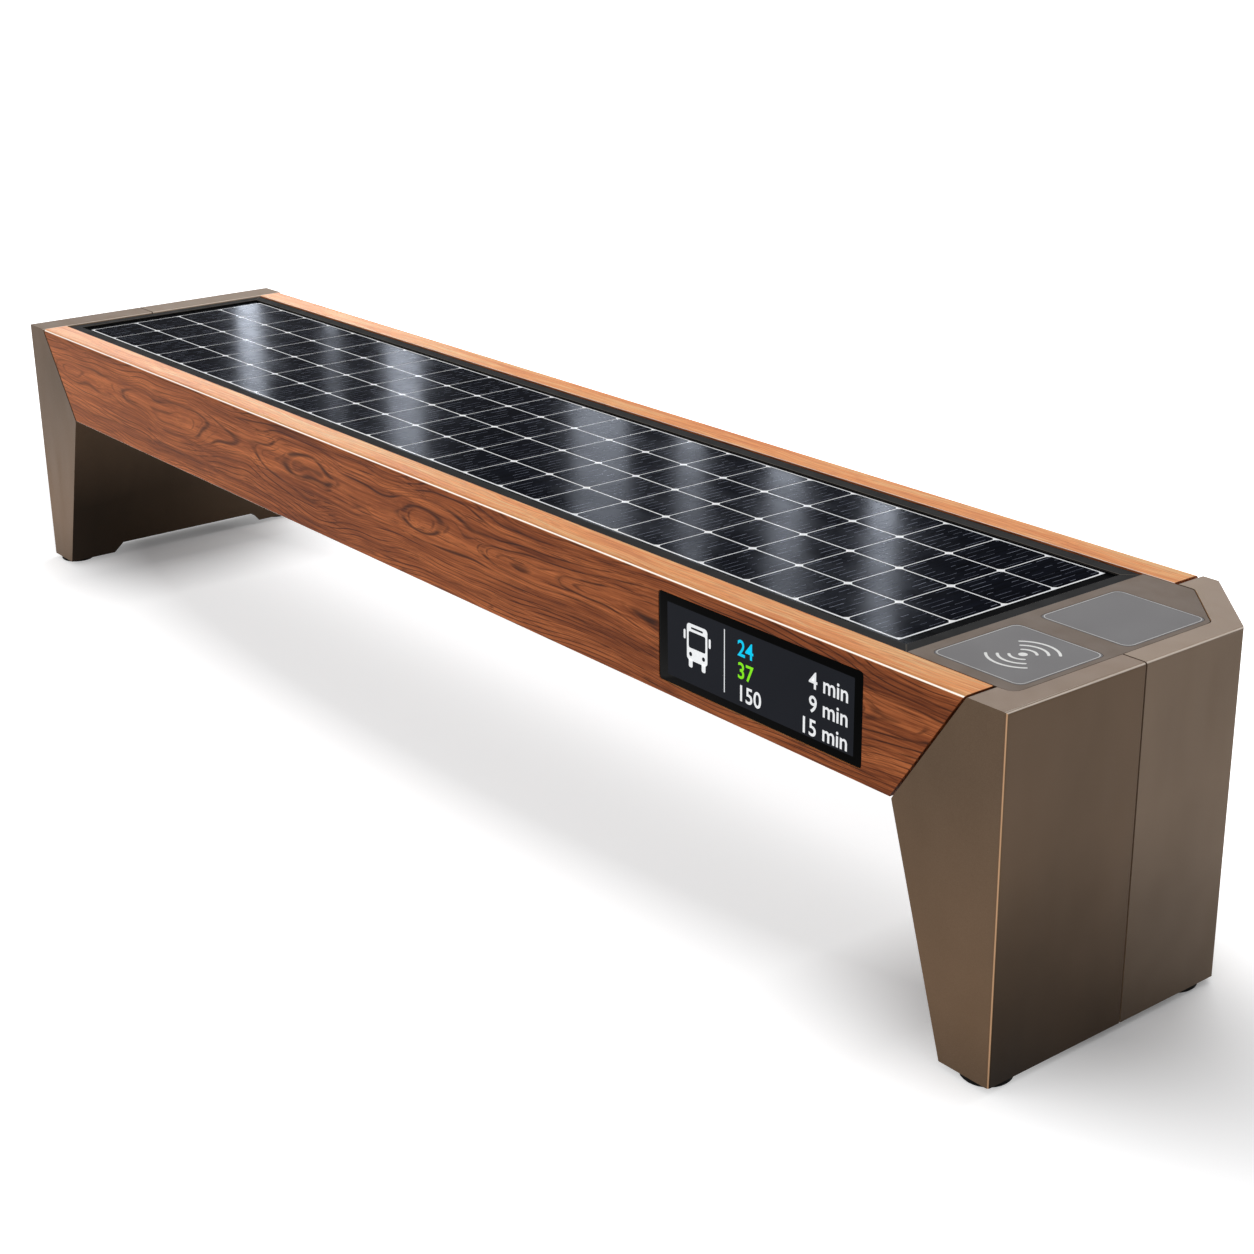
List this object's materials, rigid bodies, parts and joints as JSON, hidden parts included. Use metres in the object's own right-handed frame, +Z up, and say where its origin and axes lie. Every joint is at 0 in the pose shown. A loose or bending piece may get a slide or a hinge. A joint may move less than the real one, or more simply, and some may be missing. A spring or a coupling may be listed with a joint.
{
  "type": "solar charging bench",
  "caption": "Backless street bench with wood beams on folded metal legs, a solar panel as the seat, wireless charging pads at one end and a departures display in the front beam.",
  "frame": {"origin": "on the floor, midway between the bench's ends and midway between its front and rear faces", "axes": "+X towards the end with the charging pads, -Y towards the front face with the display, +Z up"},
  "size_m": [2.4, 0.49, 0.45],
  "materials": {
    "bronze": "bronze metallic powder coat, satin",
    "galvanised_steel": "galvanised",
    "rubber": "matt black",
    "wood": "reddish brown hardwood, oiled",
    "black_metal": "black anodised",
    "solar_cells": "dark blue-black cells under glass",
    "board": "grey faced plywood",
    "plastic": "dark grey",
    "deck_plate": "grey-brown powder coat",
    "pad": "grey with fine grain",
    "copper": "wound copper wire",
    "ferrite": "sintered, matt",
    "display_glass": "black bordered cover glass, glossy",
    "screen": "dark screen",
    "battery_case": "blue-grey case",
    "bright_steel": "plated"
  },
  "bodies": {
    "bench": {"left_front_shell": "bronze", "left_rear_shell": "bronze", "right_front_shell": "bronze", "right_rear_shell": "bronze", "left_leg_frame": "bronze", "right_leg_frame": "bronze", "front_rail": "galvanised_steel", "rear_rail": "galvanised_steel", "cross_member_1": "galvanised_steel", "cross_member_2": "galvanised_steel", "cross_member_3": "galvanised_steel", "cross_member_4": "galvanised_steel", "battery_cradle": "galvanised_steel", "electronics_plate": "galvanised_steel", "left_front_foot": "rubber", "left_rear_foot": "rubber", "right_front_foot": "rubber", "right_rear_foot": "rubber", "display_seal": "rubber", "front_beam": "wood", "rear_beam": "wood", "panel_frame_front": "black_metal", "panel_frame_right": "black_metal", "panel_frame_rear": "black_metal", "panel_frame_left": "black_metal", "charge_controller": "black_metal", "left_belly_cover": "black_metal", "right_belly_cover": "black_metal", "hinge_rail": "black_metal", "latch_rail": "black_metal", "solar_laminate": "solar_cells", "support_board": "board", "junction_box": "plastic", "charger_housing": "plastic", "display_housing": "plastic", "display_controller": "plastic", "solar_lead": "plastic", "display_lead": "plastic", "charger_lead": "plastic", "charging_deck": "deck_plate", "front_pad": "pad", "rear_pad": "pad", "front_coil": "copper", "rear_coil": "copper", "front_ferrite": "ferrite", "rear_ferrite": "ferrite", "display_glass": "display_glass", "display_panel": "screen", "battery_pack_1": "battery_case", "battery_pack_2": "battery_case", "hinge_pin_1": "bright_steel", "hinge_pin_2": "bright_steel"},
    "hatch": {"service_hatch": "black_metal", "hinge_leaf_1": "galvanised_steel", "hinge_leaf_2": "galvanised_steel", "lock_housing_1": "bright_steel", "lock_housing_2": "bright_steel"},
    "lock_1": {"lock_cam_1": "bright_steel"},
    "lock_2": {"lock_cam_2": "bright_steel"}
  },
  "joints": [
    {"name": "hatch_hinge", "type": "hinge", "parent": "bench", "child": "hatch", "pos_m": [0, 0.1454, 0.3055], "axis": [1, 0, 0], "range_deg": [0, 85]},
    {"name": "lock_1_turn", "type": "hinge", "parent": "hatch", "child": "lock_1", "pos_m": [-0.24, -0.1274, 0.3155], "axis": [0, 0, -1], "range_deg": [0, 90]},
    {"name": "lock_2_turn", "type": "hinge", "parent": "hatch", "child": "lock_2", "pos_m": [0.24, -0.1274, 0.3155], "axis": [0, 0, 1], "range_deg": [0, 90]}
  ]
}
